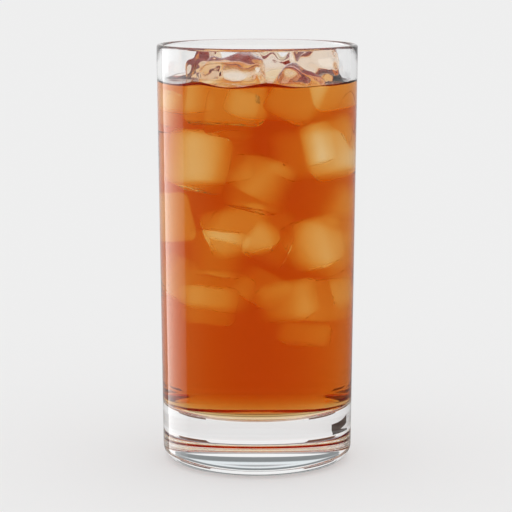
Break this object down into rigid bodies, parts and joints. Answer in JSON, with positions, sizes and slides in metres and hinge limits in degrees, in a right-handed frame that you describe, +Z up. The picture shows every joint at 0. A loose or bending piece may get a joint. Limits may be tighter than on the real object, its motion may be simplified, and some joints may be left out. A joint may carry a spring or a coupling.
{
  "type": "glass of iced tea",
  "caption": "Tall straight heavy-based tumbler of clear amber tea, filled with melting ice cubes that break the surface just below the rim.",
  "frame": {"origin": "centre of the foot ring's underside, on the surface the glass stands on", "axes": "+Z up along the glass's axis; -Y is the side with the small low ice cube, which faces the viewer; +X to the viewer's right"},
  "size_m": [0.0705, 0.0704, 0.148],
  "materials": {
    "glass": "clear polished glass",
    "tea": "clear amber tea",
    "ice": "wet melting ice, clear with a cloudy core"
  },
  "bodies": {
    "root": {"glass": "glass", "tea": "tea", "ice_left": "ice", "ice_back": "ice", "ice_middle": "ice", "ice_right": "ice", "ice_front": "ice", "ice_near": "ice"}
  },
  "joints": []
}
